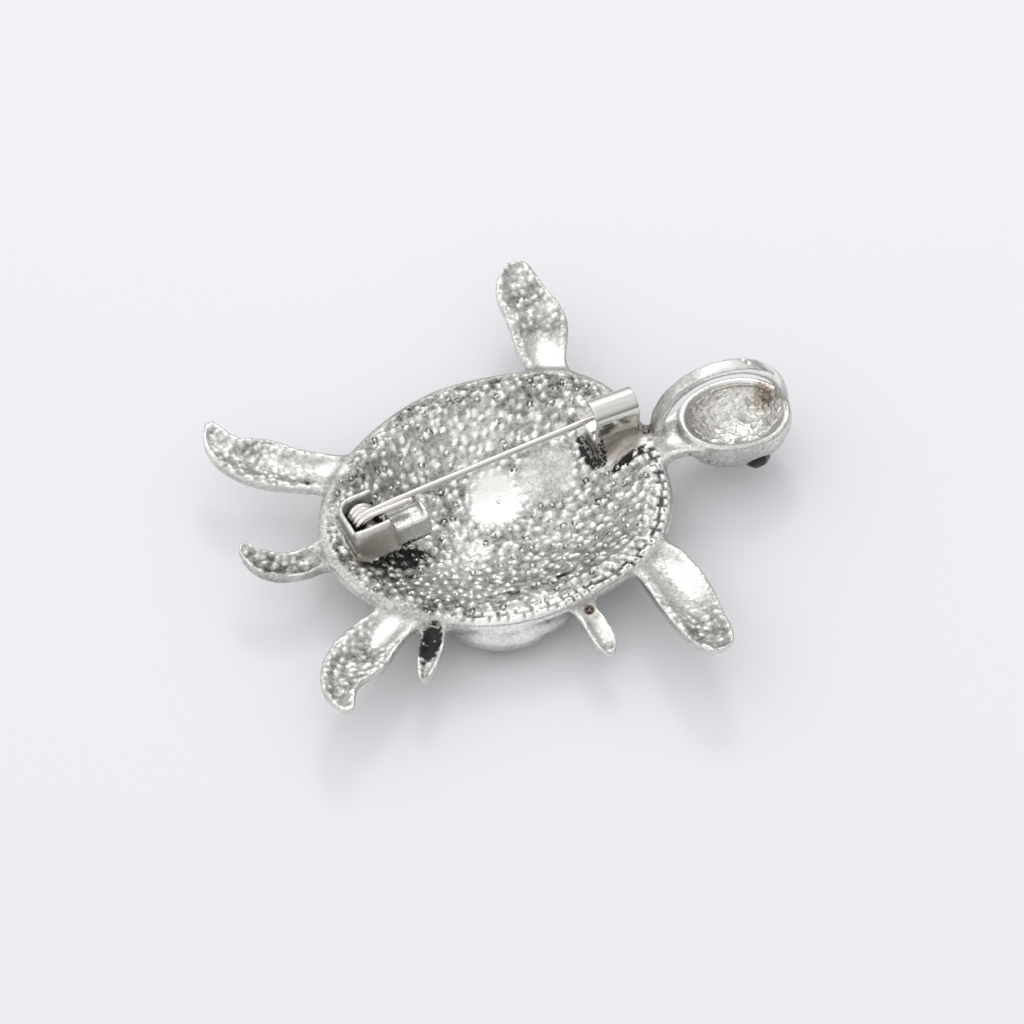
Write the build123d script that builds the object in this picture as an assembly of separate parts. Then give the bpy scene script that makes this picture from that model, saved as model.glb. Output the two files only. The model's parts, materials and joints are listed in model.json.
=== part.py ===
from build123d import *

import os
from collections import namedtuple
from math import asin, cos, degrees, radians, sin

# Turtle brooch, seen from its back: +X runs along the midline to the head, +Y to the far side.
# While it is drawn, the origin is the shell's centre and z = 0 is the plane of the shell's rim.
# At the end everything moves so that the origin is the bottom centre of the whole brooch.

# Shell, in mm: a dished oval casting, open at the back and domed at the front
SHELL_HALF_LENGTH = 18.75
SHELL_HALF_WIDTH = 15.65
SHELL_DEPTH = 6.3
RIM_WIDTH = 2.7
DISH_DEPTH = 4.8

# Head, a cup on the end of the neck
HEAD_CENTRE_X = 27.15
HEAD_HALF_LENGTH = 5.95
HEAD_HALF_WIDTH = 4.75
HEAD_RIM_Z = 1.2
HEAD_DEPTH = 5.6
HEAD_WALL = 0.8
HEAD_LEDGE_DEPTH = 1.3
HEAD_RECESS_CENTRE = (27.55, 0.75)
HEAD_RECESS_HALF_LENGTH = 4.35
HEAD_RECESS_HALF_WIDTH = 3.15
HEAD_RECESS_START = 0.5
HEAD_CUP_DEPTH = 3.9
NECK_WIDTH = 6.4
NECK_TOP_Z = 0.25
NECK_THICKNESS = 2.6
NECK_LIFT = 0.5

# Bail, an arch over the back of the head that a chain runs through
BAIL_RADIUS = 6.65
BAIL_SPRING_Z = 0.9
BAIL_CENTRE = (25.95, 1.05)
BAIL_TURN = -5.5
BAIL_WIDTH = 1.7
BAIL_THICKNESS = 1.1
BAIL_ROOT = 1.6

# Limbs: full width and thickness of each kind, and the height that its tip gains
FRONT_FLIPPER_WIDTH = 6.4
FRONT_FLIPPER_THICKNESS = 2.0
FRONT_FLIPPER_LIFT = 2.1
HIND_FLIPPER_WIDTH = 5.9
HIND_FLIPPER_THICKNESS = 2.0
HIND_FLIPPER_LIFT = 1.2
TAIL_WIDTH = 3.6
TAIL_THICKNESS = 1.8
TAIL_LIFT = 0.5
LIMB_EDGE = 1.05
LIMB_TRAY = 0.45
LIMB_ROOT_Z = -0.3

# Hatchling that rides on the near flank of the shell
HATCHLING_CENTRE = (-2.4, -11.2)
HATCHLING_HALF_LENGTH = 6.6
HATCHLING_HALF_WIDTH = 4.75
HATCHLING_FLIPPER_WIDTH = 2.6
HATCHLING_FLIPPER_THICKNESS = 1.5
HATCHLING_HEAD_RADIUS = 1.5
HATCHLING_HEAD_CENTRE = (6.0, -9.2, -4.3)

# Pin: wire, coil and stem, and how the whole hinge leans to the far side
WIRE_RADIUS = 0.34
COIL_RADIUS = 1.3
COIL_TURNS = 4
STEM_TURN = 1
COIL_PITCH = 0.70
STEM_BEND = 6.6
STEM_SET = 0.2
LEG_LENGTH = 4.6
HINGE_POINT = (-12.15, 2.0, 0.0)
HINGE_LEAN = 17.0
PIN_SEAT = (13.3, 4.55, 1.57)
PIN_PAST_SEAT = 3.6
PIN_TAPER = 4.2
PIN_POINT_RADIUS = 0.06

# Rivet and soldered hinge; heights are from the rivet's axis
RIVET_RADIUS = 0.75
RIVET_CLEARANCE = 0.04
RIVET_INSET = 0.06
NEAR_EAR_SKIN = 0.4
HINGE_REAR_GAP = 0.2
HINGE_SHEET = 0.5
NEAR_EAR_THICKNESS = 1.0
NEAR_EAR_GAP = 0.85
FAR_EAR_GAP = 0.5
EAR_FRONT = 1.9
NEAR_EAR_TOP = 1.25
EAR_ROUND = 0.8
WALL_TOP = 2.1
HINGE_FOOT = 2.7
BASE_GAP = 0.12
WALL_CORNER = 1.3
TONGUE_LENGTH = 3.6
TONGUE_WIDTH = 2.5
TONGUE_TOP = 0.3
TONGUE_SLOPE = 14.0
TONGUE_PLATE = 0.4
TONGUE_PLATE_RISE = 0.35

# Catch: a rolled strip on a foot, open towards the far side
CATCH_START_X = 12.85
CATCH_LENGTH = 4.7
CATCH_RADIUS = 1.65
CATCH_SHEET = 0.45
CATCH_CENTRE = (3.85, 3.05)
CATCH_LIP_ANGLE = 38.0
CATCH_TURN = 2.5
CATCH_FOOT_TOP = 0.35
CATCH_FOOT_REACH = 3.1
CATCH_FOOT_BOTTOM = -2.1
CATCH_SOLDER_TOP = 1.1
CATCH_SOLDER_FLARE = 1.1

# Eye stones: round cut stones in seats on the sides of the head
STONE_RADIUS = 1.45
STONE_HEIGHT = 1.5
STONE_FACETS = 8
STONE_GAP = 0.04
STONE_PROUD = 0.85
EYE_PLACE = (28.2, 3.55, -2.45)
EYE_TILT = 44.0
EYE_TURN = 10.0

# Outlines from front to rear, as shares of half length and half width; the near and the far half
# are a little unlike on the shell
OutlinePoint = namedtuple("OutlinePoint", "along near far")
SHELL_OUTLINE = [
    OutlinePoint(1.0, 0.0, 0.0),
    OutlinePoint(0.965, 0.33, 0.46),
    OutlinePoint(0.845, 0.62, 0.74),
    OutlinePoint(0.62, 0.84, 0.90),
    OutlinePoint(0.35, 0.94, 0.975),
    OutlinePoint(0.05, 1.0, 1.0),
    OutlinePoint(-0.35, 0.91, 0.86),
    OutlinePoint(-0.72, 0.60, 0.55),
    OutlinePoint(-0.93, 0.0, 0.0),
]
HEAD_OUTLINE = [
    OutlinePoint(1.0, 0.0, 0.0),
    OutlinePoint(0.88, 0.52, 0.50),
    OutlinePoint(0.60, 0.86, 0.82),
    OutlinePoint(0.25, 1.0, 0.98),
    OutlinePoint(-0.15, 0.97, 1.0),
    OutlinePoint(-0.50, 0.84, 0.90),
    OutlinePoint(-0.80, 0.58, 0.66),
    OutlinePoint(-0.96, 0.28, 0.32),
    OutlinePoint(-1.0, 0.0, 0.0),
]

# Sections from the rim down: depth as a share of the full depth, spread as a share of the outline
Section = namedtuple("Section", "depth spread")
SHELL_SECTIONS = [
    Section(0.0, 0.982),
    Section(0.15, 1.0),
    Section(0.30, 0.965),
    Section(0.58, 0.80),
    Section(0.84, 0.58),
    Section(0.96, 0.46),
    Section(1.0, 0.38),
]
DISH_SECTIONS = [
    Section(-0.12, 1.05),
    Section(0.0, 1.0),
    Section(0.45, 0.76),
    Section(0.80, 0.50),
    Section(1.0, 0.22),
]
HEAD_SECTIONS = [
    Section(0.0, 0.96),
    Section(0.22, 1.0),
    Section(0.55, 0.91),
    Section(0.85, 0.66),
    Section(1.0, 0.40),
]
LEDGE_SECTIONS = [
    Section(-0.40, 1.02),
    Section(0.0, 1.0),
    Section(0.50, 0.93),
    Section(1.0, 0.76),
]
RECESS_SECTIONS = [
    Section(0.0, 1.0),
    Section(0.35, 0.96),
    Section(0.70, 0.80),
    Section(1.0, 0.48),
]
HATCHLING_SECTIONS = [
    Section(0.20, 0.90),
    Section(0.34, 0.985),
    Section(0.50, 1.0),
    Section(0.72, 0.86),
    Section(0.89, 0.60),
    Section(0.97, 0.36),
]

# Corners of a stone from its flat back up to its table, as shares of its radius and height
StoneRing = namedtuple("StoneRing", "spread height")
STONE_RINGS = [
    StoneRing(0.80, 0.0),
    StoneRing(1.0, 0.45),
    StoneRing(0.86, 0.72),
    StoneRing(0.52, 1.0),
]

# Limb stations from root to tip: place as shares of the shell's half length and half width, heading
# in degrees from +X, width as a share of the limb's full width, and lift as a share of its tip's lift
Station = namedtuple("Station", "along across heading width lift")
FRONT_FAR = [
    Station(0.690, 0.760, 90.0, 0.74, 0.00),
    Station(0.675, 0.930, 90.0, 0.68, 0.02),
    Station(0.708, 1.100, 90.0, 0.90, 0.15),
    Station(0.732, 1.240, 90.0, 0.95, 0.32),
    Station(0.716, 1.530, 90.0, 0.78, 0.70),
    Station(0.736, 1.665, 90.0, 0.54, 0.88),
    Station(0.748, 1.728, 90.0, 0.22, 0.97),
]
FRONT_NEAR = [
    Station(0.660, -0.700, -90.0, 0.80, 0.00),
    Station(0.690, -0.850, -90.0, 0.90, 0.02),
    Station(0.718, -1.050, -90.0, 0.92, 0.12),
    Station(0.720, -1.225, -90.0, 0.90, 0.32),
    Station(0.722, -1.520, -90.0, 0.74, 0.70),
    Station(0.730, -1.660, -90.0, 0.56, 0.88),
    Station(0.724, -1.728, -90.0, 0.24, 0.97),
]
HIND = [
    Station(-0.640, 0.560, 143.0, 0.85, 0.00),
    Station(-0.800, 0.680, 143.0, 0.84, 0.10),
    Station(-0.945, 0.790, 147.0, 0.95, 0.30),
    Station(-1.100, 0.930, 128.0, 0.86, 0.60),
    Station(-1.176, 1.060, 100.0, 0.60, 0.80),
    Station(-1.187, 1.166, 86.0, 0.38, 0.92),
    Station(-1.187, 1.250, 80.0, 0.14, 1.00),
]
NECK = [
    Station(0.850, 0.020, 0.0, 1.05, 0.0),
    Station(0.960, 0.015, 0.0, 0.94, 0.0),
    Station(1.050, 0.015, 0.0, 0.74, 0.4),
    Station(1.130, 0.010, 0.0, 0.80, 0.9),
    Station(1.230, 0.000, 0.0, 0.98, 1.0),
]
TAIL = [
    Station(-0.880, 0.050, 180.0, 1.10, 0.0),
    Station(-1.000, 0.010, 180.0, 0.96, 0.0),
    Station(-1.130, 0.015, 176.0, 0.90, 0.1),
    Station(-1.245, 0.095, 150.0, 0.84, 0.4),
    Station(-1.295, 0.185, 110.0, 0.52, 0.8),
    Station(-1.295, 0.275, 90.0, 0.20, 1.0),
]
HATCHLING_FRONT = [
    Station(0.215, -0.860, -90.0, 1.00, 0.0),
    Station(0.222, -1.010, -90.0, 1.00, 0.2),
    Station(0.238, -1.180, -90.0, 0.94, 0.6),
    Station(0.244, -1.300, -90.0, 0.72, 0.9),
    Station(0.240, -1.350, -90.0, 0.30, 1.0),
]
HATCHLING_HIND = [
    Station(-0.560, -0.720, -100.0, 1.00, 0.0),
    Station(-0.595, -0.860, -105.0, 1.00, 0.1),
    Station(-0.650, -0.960, -125.0, 0.92, 0.4),
    Station(-0.705, -1.060, -120.0, 0.66, 0.8),
    Station(-0.735, -1.125, -115.0, 0.26, 1.0),
]
HATCHLING_FRONT_LIFT = -1.0
HATCHLING_HIND_LIFT = -0.5
HATCHLING_FLIPPER_Z = -0.55

# Share of a limb's width that its raised border takes, and of its edge that is left at a pointed tip
LIMB_BORDER_SHARE = 0.14
LIMB_EDGE_SHARE = 0.55


def outline_points(table, half_length, half_width, centre, height):
    """All points of a closed outline, down the near side and back up the far side."""
    near_side = [(point.along, -point.near) for point in table]
    far_side = [(point.along, point.far) for point in reversed(table[1:-1])]
    return [
        Vector(centre[0] + along * half_length, centre[1] + across * half_width, height)
        for along, across in near_side + far_side
    ]


def oval(table, half_length, half_width, centre, height):
    """Closed wire of arcs; each arc is centred on an even point, so none joins at the midline."""
    points = outline_points(table, half_length, half_width, centre, height)
    count = len(points)
    arcs = [
        Edge.make_three_point_arc(points[index - 1], points[index], points[(index + 1) % count])
        for index in range(0, count, 2)
    ]
    return Wire(arcs)


def bowl(table, sections, half_length, half_width, centre, top, depth):
    """Solid lofted down through ovals."""
    wires = [
        oval(table, half_length * row.spread, half_width * row.spread, centre, top - depth * row.depth)
        for row in sections
    ]
    return Solid.make_loft(wires)


def limb_section(station, full_width, thickness, lift, root_z):
    """Section across a limb: a shallow tray on the back, upright edges and a rounded front."""
    half = full_width * station.width / 2
    border = 2 * half * LIMB_BORDER_SHARE
    tray = LIMB_TRAY * station.width
    edge = LIMB_EDGE * (LIMB_EDGE_SHARE + (1 - LIMB_EDGE_SHARE) * station.width)
    belly = edge + (thickness - LIMB_EDGE) * station.width
    heading = radians(station.heading)
    section_plane = Plane(
        origin=(
            station.along * SHELL_HALF_LENGTH,
            station.across * SHELL_HALF_WIDTH,
            root_z + station.lift * lift,
        ),
        x_dir=(-sin(heading), cos(heading), 0),
        z_dir=(cos(heading), sin(heading), 0),
    )
    corners = [
        section_plane.from_local_coords(Vector(across, -down, 0))
        for across, down in [
            (-half, 0),
            (-half + border, 0),
            (0, tray),
            (half - border, 0),
            (half, 0),
            (half, edge),
            (0, belly),
            (-half, edge),
        ]
    ]
    left, tray_left, tray_floor, tray_right, right, right_foot, keel, left_foot = corners
    return Wire(
        [
            Edge.make_line(left, tray_left),
            Edge.make_three_point_arc(tray_left, tray_floor, tray_right),
            Edge.make_line(tray_right, right),
            Edge.make_line(right, right_foot),
            Edge.make_three_point_arc(right_foot, keel, left_foot),
            Edge.make_line(left_foot, left),
        ]
    )


def limb(table, full_width, thickness, lift, root_z=LIMB_ROOT_Z):
    """Solid lofted through a limb's stations."""
    wires = [limb_section(station, full_width, thickness, lift, root_z) for station in table]
    return Solid.make_loft(wires)


def mirrored(table):
    """The same stations on the other side of the midline."""
    return [
        Station(row.along, -row.across, -row.heading, row.width, row.lift) for row in table
    ]


def all_limbs():
    """Flippers, tail and the hatchling's two flippers."""
    front = (FRONT_FLIPPER_WIDTH, FRONT_FLIPPER_THICKNESS, FRONT_FLIPPER_LIFT)
    hind = (HIND_FLIPPER_WIDTH, HIND_FLIPPER_THICKNESS, HIND_FLIPPER_LIFT)
    small = (HATCHLING_FLIPPER_WIDTH, HATCHLING_FLIPPER_THICKNESS)
    return [
        limb(FRONT_FAR, *front),
        limb(FRONT_NEAR, *front),
        limb(HIND, *hind),
        limb(mirrored(HIND), *hind),
        limb(TAIL, TAIL_WIDTH, TAIL_THICKNESS, TAIL_LIFT),
        limb(HATCHLING_FRONT, *small, HATCHLING_FRONT_LIFT, HATCHLING_FLIPPER_Z),
        limb(HATCHLING_HIND, *small, HATCHLING_HIND_LIFT, HATCHLING_FLIPPER_Z),
    ]


def shell_body():
    """Domed outside of the shell, before it is dished."""
    return bowl(
        SHELL_OUTLINE, SHELL_SECTIONS, SHELL_HALF_LENGTH, SHELL_HALF_WIDTH, (0, 0), 0, SHELL_DEPTH
    )


def shell_dish():
    """Hollow of the shell, open at the back."""
    return bowl(
        SHELL_OUTLINE,
        DISH_SECTIONS,
        SHELL_HALF_LENGTH - RIM_WIDTH,
        SHELL_HALF_WIDTH - RIM_WIDTH,
        (0, 0),
        0,
        DISH_DEPTH,
    )


def hatchling_body():
    """Shell and head of the hatchling, which share the big shell's lowest plane."""
    shell = bowl(
        SHELL_OUTLINE,
        HATCHLING_SECTIONS,
        HATCHLING_HALF_LENGTH,
        HATCHLING_HALF_WIDTH,
        HATCHLING_CENTRE,
        0,
        SHELL_DEPTH,
    )
    head = Pos(*HATCHLING_HEAD_CENTRE) * Sphere(HATCHLING_HEAD_RADIUS)
    return [shell, head]


def head_body():
    """Outside of the head cup and the neck that joins it to the shell."""
    cup = bowl(
        HEAD_OUTLINE,
        HEAD_SECTIONS,
        HEAD_HALF_LENGTH,
        HEAD_HALF_WIDTH,
        (HEAD_CENTRE_X, 0),
        HEAD_RIM_Z,
        HEAD_DEPTH,
    )
    neck = limb(NECK, NECK_WIDTH, NECK_THICKNESS, NECK_LIFT, NECK_TOP_Z)
    return [cup, neck]


def head_cup():
    """Hollow of the head: a shallow cup and, set to the far side of its floor, a deep recess."""
    shallow = bowl(
        HEAD_OUTLINE,
        LEDGE_SECTIONS,
        HEAD_HALF_LENGTH - HEAD_WALL,
        HEAD_HALF_WIDTH - HEAD_WALL,
        (HEAD_CENTRE_X, 0),
        HEAD_RIM_Z,
        HEAD_LEDGE_DEPTH,
    )
    recess = bowl(
        HEAD_OUTLINE,
        RECESS_SECTIONS,
        HEAD_RECESS_HALF_LENGTH,
        HEAD_RECESS_HALF_WIDTH,
        HEAD_RECESS_CENTRE,
        HEAD_RIM_Z - HEAD_RECESS_START,
        HEAD_CUP_DEPTH - HEAD_RECESS_START,
    )
    return shallow + recess


def bail():
    """Half ring on two short legs, standing on the neck and the snout."""
    outer = BAIL_RADIUS + BAIL_THICKNESS / 2
    inner = BAIL_RADIUS - BAIL_THICKNESS / 2
    upright = Plane.XZ.offset(-BAIL_WIDTH / 2)
    with BuildSketch(upright) as arch:
        Circle(outer)
        Circle(inner, mode=Mode.SUBTRACT)
        with Locations((0, -outer)):
            Rectangle(2 * outer, 2 * outer, mode=Mode.SUBTRACT)
        with Locations((-BAIL_RADIUS, -BAIL_ROOT / 2), (BAIL_RADIUS, -BAIL_ROOT / 2)):
            Rectangle(BAIL_THICKNESS, BAIL_ROOT)
    band = extrude(arch.sketch, BAIL_WIDTH)
    return Pos(BAIL_CENTRE[0], BAIL_CENTRE[1], BAIL_SPRING_Z) * Rot(0, 0, BAIL_TURN) * band


def hinge_plane():
    """Frame of the hinge: X along the pin, Y along the rivet to the far side, Z away from the dish."""
    lean = radians(HINGE_LEAN)
    up = Vector(0, sin(lean), cos(lean))
    seat = Vector(*PIN_SEAT)
    point = Vector(*HINGE_POINT)
    # The stem's straight stretch lies at the coil's top, so the pin's direction follows from both ends
    across = Vector(0, cos(lean), -sin(lean))
    start = point + up * COIL_RADIUS + across * stem_offset()
    along = (seat - start).normalized()
    upright = (up - along * up.dot(along)).normalized()
    return Plane(origin=point, x_dir=along, z_dir=upright)


def stem_offset():
    """Place along the rivet of the straight stem, set over from the turn that it leaves."""
    return (STEM_TURN + 0.5 - COIL_TURNS / 2) * COIL_PITCH + STEM_SET


def stem_bend():
    """First stretch of the stem: it leaves the coil along the helix's slope and comes straight."""
    radius = (STEM_BEND**2 + STEM_SET**2) / (2 * STEM_SET)
    centre = Vector(STEM_BEND, stem_offset() - radius, COIL_RADIUS)
    section = Plane.YZ * Circle(WIRE_RADIUS)
    section = Pos(STEM_BEND, stem_offset(), COIL_RADIUS) * section
    return revolve(section, Axis(centre, (0, 0, 1)), degrees(asin(STEM_BEND / radius)))


def stem_length():
    """Length of the stem from the coil to its point."""
    seat = hinge_plane().to_local_coords(Vector(*PIN_SEAT))
    return seat.X + PIN_PAST_SEAT


def coil_half():
    """Half of the coil's width."""
    return COIL_TURNS / 2 * COIL_PITCH


def pin_wire():
    """Coil as a ridged ring, straight stem with a tapered tip and the coil's short second leg."""
    bore = COIL_RADIUS - WIRE_RADIUS
    half = coil_half()
    edges = [Edge.make_line((bore, -half), (COIL_RADIUS, -half))]
    for turn in range(COIL_TURNS):
        low = -half + turn * COIL_PITCH
        middle = low + COIL_PITCH / 2
        high = low + COIL_PITCH
        edges.append(
            Edge.make_three_point_arc(
                (COIL_RADIUS, low), (COIL_RADIUS + WIRE_RADIUS, middle), (COIL_RADIUS, high)
            )
        )
    edges.append(Edge.make_line((COIL_RADIUS, half), (bore, half)))
    edges.append(Edge.make_line((bore, half), (bore, -half)))
    coil = revolve(Face(Wire(edges)), Axis.Y, 360)
    shank = stem_length() - PIN_TAPER
    straight = shank - STEM_BEND
    stem = Plane.YZ * Pos(0, 0, shank - straight / 2) * Cylinder(WIRE_RADIUS, straight)
    tip = Plane.YZ * Pos(0, 0, shank + PIN_TAPER / 2) * Cone(WIRE_RADIUS, PIN_POINT_RADIUS, PIN_TAPER)
    rod = Pos(0, stem_offset(), COIL_RADIUS) * (stem + tip) + stem_bend()
    leg = Plane.YZ * Pos(0, 0, LEG_LENGTH / 2) * Cylinder(WIRE_RADIUS, LEG_LENGTH)
    leg = Pos(0, COIL_PITCH / 2 - half, COIL_RADIUS) * leg
    return hinge_plane().location * (coil + rod + leg)


def near_ear_inside():
    """Y of the near ear's inner face, in the hinge's frame."""
    return -coil_half() - NEAR_EAR_GAP


def far_ear_inside():
    """Y of the far ear's inner face, in the hinge's frame."""
    return coil_half() + FAR_EAR_GAP


def rear_wall_inside():
    """X of the rear wall's inner face, in the hinge's frame."""
    return -(COIL_RADIUS + WIRE_RADIUS + HINGE_REAR_GAP)


def rivet_near_end():
    """Y of the blind end of the rivet's hole in the near ear, in the hinge's frame."""
    return near_ear_inside() - NEAR_EAR_THICKNESS + NEAR_EAR_SKIN


def hinge_rivet():
    """Plain rivet from the near ear's blind hole to just inside the far ear's outer face."""
    near = rivet_near_end() + RIVET_INSET
    far = far_ear_inside() + HINGE_SHEET - RIVET_INSET
    return across_hinge(RIVET_RADIUS, near, far)


def upright_block(start, end, near, far, top):
    """Box from the hinge's foot up to a height, in the hinge's frame."""
    height = top + HINGE_FOOT
    place = Pos((start + end) / 2, (near + far) / 2, top - height / 2)
    return place * Box(end - start, far - near, height)


def above_slope(far, height, tilt):
    """All that lies above a plane that falls to the far side, to cut the hinge's tops with."""
    across = far_ear_inside() - near_ear_inside() + NEAR_EAR_THICKNESS + HINGE_SHEET
    along = EAR_FRONT + TONGUE_LENGTH + TONGUE_PLATE - rear_wall_inside() + HINGE_SHEET
    reach = 2 * (across + along)
    return Pos(0, far, height) * Rot(tilt, 0, 0) * Pos(0, 0, reach / 2) * Box(reach, reach, reach)


def hinge_wall():
    """Sheet bent round the coil: far ear, rounded corner and rear, with a level top edge."""
    near = near_ear_inside() - NEAR_EAR_THICKNESS
    far = far_ear_inside() + HINGE_SHEET
    rear = rear_wall_inside() - HINGE_SHEET
    outside = upright_block(rear, EAR_FRONT, near, far, WALL_TOP)
    inside = upright_block(
        rear_wall_inside(), EAR_FRONT + HINGE_SHEET, near - HINGE_SHEET, far_ear_inside(), WALL_TOP
    )

    def rear_corner(block):
        return block.edges().filter_by(Axis.Z).group_by(Axis.X)[0].sort_by(Axis.Y)[-1]

    outside = fillet(rear_corner(outside), WALL_CORNER + HINGE_SHEET)
    inside = fillet(rear_corner(inside), WALL_CORNER)
    return outside - inside - above_slope(far, WALL_TOP, HINGE_LEAN)


def near_ear():
    """Thick near ear with rounded shoulders."""
    inside = near_ear_inside()
    ear = upright_block(
        rear_wall_inside() - HINGE_SHEET, EAR_FRONT, inside - NEAR_EAR_THICKNESS, inside, NEAR_EAR_TOP
    )
    outer_face = ear.faces().sort_by(Axis.Y)[0]
    rim = outer_face.edges().sort_by(Axis.Z)[1:]
    return fillet(rim, EAR_ROUND)


def tongue():
    """Block beside the near ear that the second leg rests on, with an upright end plate."""
    near = near_ear_inside() - NEAR_EAR_THICKNESS / 2
    far = near + TONGUE_WIDTH
    end = EAR_FRONT + TONGUE_LENGTH
    plate_top = TONGUE_TOP + TONGUE_PLATE_RISE
    block = upright_block(EAR_FRONT, end, near, far, TONGUE_TOP)
    block = block - above_slope(far, TONGUE_TOP, TONGUE_SLOPE)
    plate = upright_block(end, end + TONGUE_PLATE, near, far, plate_top)
    return block + (plate - above_slope(far, plate_top, TONGUE_SLOPE))


def across_hinge(radius, near, far):
    """Round bar along the rivet's axis, between two places across the hinge."""
    bar = Pos(0, (near + far) / 2, 0) * Rot(90, 0, 0) * Cylinder(radius, far - near)
    return hinge_plane().location * bar


def coil_room():
    """Room round the coil, which the dish's rising wall would otherwise fill."""
    return across_hinge(
        COIL_RADIUS + WIRE_RADIUS + BASE_GAP, near_ear_inside(), far_ear_inside()
    )


def rivet_bore():
    """Hole for the rivet: blind in the near ear, and through the far one."""
    far = far_ear_inside() + HINGE_SHEET
    return across_hinge(RIVET_RADIUS + RIVET_CLEARANCE, rivet_near_end(), far)


def hinge_mount():
    """Soldered hinge: base, U wall, near ear and tongue."""
    near = near_ear_inside() - NEAR_EAR_THICKNESS
    far = far_ear_inside() + HINGE_SHEET
    rear = rear_wall_inside() - HINGE_SHEET
    base_top = -(COIL_RADIUS + WIRE_RADIUS + BASE_GAP)
    base = upright_block(rear, EAR_FRONT, near, far, base_top)
    return hinge_plane().location * (hinge_wall() + near_ear() + base + tongue())


def catch():
    """Rolled strip: a foot in the dish, an upright near wall and a curl that ends in an open lip."""
    centre_y, centre_z = CATCH_CENTRE
    outer = CATCH_RADIUS
    inner = CATCH_RADIUS - CATCH_SHEET
    lip = radians(CATCH_LIP_ANGLE)
    middle = (lip - radians(90)) / 2

    def on_curl(radius, angle):
        return (centre_y + radius * sin(angle), centre_z + radius * cos(angle))

    near_outer = centre_y - outer
    near_inner = centre_y - inner
    reach = near_outer + CATCH_FOOT_REACH
    outline = [
        (reach, CATCH_FOOT_TOP),
        (reach, CATCH_FOOT_BOTTOM),
        (near_outer - CATCH_SOLDER_FLARE, CATCH_FOOT_BOTTOM),
        (near_outer, CATCH_SOLDER_TOP),
        (near_outer, centre_z),
    ]
    edges = [Edge.make_line(start, end) for start, end in zip(outline, outline[1:])]
    edges += [
        Edge.make_three_point_arc(outline[-1], on_curl(outer, middle), on_curl(outer, lip)),
        Edge.make_line(on_curl(outer, lip), on_curl(inner, lip)),
        Edge.make_three_point_arc(on_curl(inner, lip), on_curl(inner, middle), (near_inner, centre_z)),
        Edge.make_line((near_inner, centre_z), (near_inner, CATCH_FOOT_TOP)),
        Edge.make_line((near_inner, CATCH_FOOT_TOP), outline[0]),
    ]
    side = Plane.YZ * Face(Wire(edges))
    strip = Pos(-CATCH_LENGTH / 2, -centre_y, 0) * extrude(side, CATCH_LENGTH, dir=(1, 0, 0))
    return Pos(CATCH_START_X + CATCH_LENGTH / 2, centre_y, 0) * Rot(0, 0, CATCH_TURN) * strip


def eye_plane(side):
    """Frame of an eye: Z points out of the head's side, towards its hidden front."""
    tilt = radians(EYE_TILT)
    turn = radians(EYE_TURN)
    outward = Vector(sin(turn) * cos(tilt), side * cos(turn) * cos(tilt), -sin(tilt))
    return Plane(
        origin=(EYE_PLACE[0], side * EYE_PLACE[1], EYE_PLACE[2]), x_dir=(1, 0, 0), z_dir=outward
    )


def stone():
    """Cut stone: a table, two rings of facets and a girdle, standing on its flat back."""
    half_turn = 180 / STONE_FACETS

    def ring(radius, height):
        corners = [
            Vector(radius, 0, height).rotate(Axis.Z, half_turn * (2 * index + 1))
            for index in range(STONE_FACETS)
        ]
        return Wire.make_polygon(corners, close=True)

    wires = [ring(STONE_RADIUS * row.spread, STONE_HEIGHT * row.height) for row in STONE_RINGS]
    return Solid.make_loft(wires, ruled=True)


def stone_seat():
    """Pocket for a stone: a round of its girdle's size, with the gap under and round the stone."""
    pocket = Cylinder(STONE_RADIUS + STONE_GAP, 2 * STONE_HEIGHT)
    return Pos(0, 0, STONE_HEIGHT - STONE_GAP) * pocket


def eye_stone(side):
    """Stone in its seat; its back stands off the seat's floor by the gap."""
    return eye_plane(side).location * Pos(0, 0, STONE_PROUD - STONE_HEIGHT) * stone()


def eye_seat(side):
    """The pocket in the head's wall."""
    return eye_plane(side).location * Pos(0, 0, STONE_PROUD - STONE_HEIGHT) * stone_seat()


def beyond_wall():
    """All that lies below the rim and past the middle of the shell's wall, where no fitting reaches."""
    below = Pos(0, 0, -SHELL_DEPTH) * Box(4 * SHELL_HALF_LENGTH, 4 * SHELL_HALF_WIDTH, 2 * SHELL_DEPTH)
    within = bowl(
        SHELL_OUTLINE,
        SHELL_SECTIONS,
        SHELL_HALF_LENGTH - RIM_WIDTH / 2,
        SHELL_HALF_WIDTH - RIM_WIDTH / 2,
        (0, 0),
        0,
        (SHELL_DEPTH + DISH_DEPTH) / 2,
    )
    return below - within


def turtle_casting():
    """The casting with its soldered fittings, as one solid."""
    body = Part() + [shell_body(), *hatchling_body(), *all_limbs(), *head_body()]
    body = body - shell_dish() - head_cup() - coil_room()
    body = body + [bail(), hinge_mount() - beyond_wall(), catch() - beyond_wall()]
    return body - rivet_bore() - eye_seat(-1) - eye_seat(1)


def main():
    nodes = {
        "turtle_casting": turtle_casting(),
        "pin_wire": pin_wire(),
        "hinge_rivet": hinge_rivet(),
        "eye_stone_near": eye_stone(-1),
        "eye_stone_far": eye_stone(1),
    }
    box = Compound(list(nodes.values())).bounding_box()
    to_bottom_centre = Pos(-box.center().X, -box.center().Y, -box.min.Z)
    os.makedirs("parts", exist_ok=True)
    for name, shape in nodes.items():
        export_step(to_bottom_centre * shape, "parts/" + name + ".step")
    print("moved", to_bottom_centre.position)


main()
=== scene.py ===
"""Looks of the turtle brooch: it lies on its front, with its hollow back, pin and bail showing."""

import json
from collections import namedtuple

import bmesh
import bpy
import numpy as np
from bpy.props import FloatProperty, FloatVectorProperty, IntProperty, PointerProperty
from mathutils import Matrix, Vector


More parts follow.
